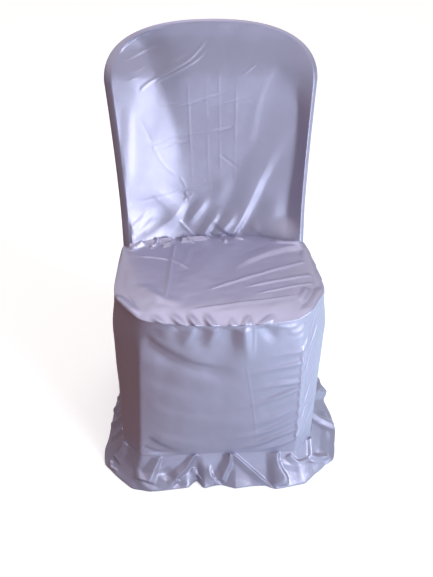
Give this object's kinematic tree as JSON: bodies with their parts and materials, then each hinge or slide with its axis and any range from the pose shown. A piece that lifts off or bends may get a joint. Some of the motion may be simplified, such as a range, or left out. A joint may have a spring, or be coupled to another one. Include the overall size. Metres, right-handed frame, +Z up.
{
  "type": "satin chair cover",
  "caption": "Fitted satin cover for an armless chair, with a hollow backrest, a straight skirt and a gathered frill at the floor.",
  "frame": {"origin": "middle of the cover's bounding box in plan, on the floor under the hem", "axes": "+Z up, the chair faces -Y, +X to the right of someone looking at its front"},
  "size_m": [0.561, 0.5862, 0.8779],
  "materials": {
    "inside_back": "satin",
    "outside_back": "satin",
    "seat": "satin",
    "skirt": "satin",
    "frill": "satin"
  },
  "bodies": {
    "root": {"inside_back": "inside_back", "outside_back": "outside_back", "seat": "seat", "skirt": "skirt", "frill": "frill"}
  },
  "joints": []
}
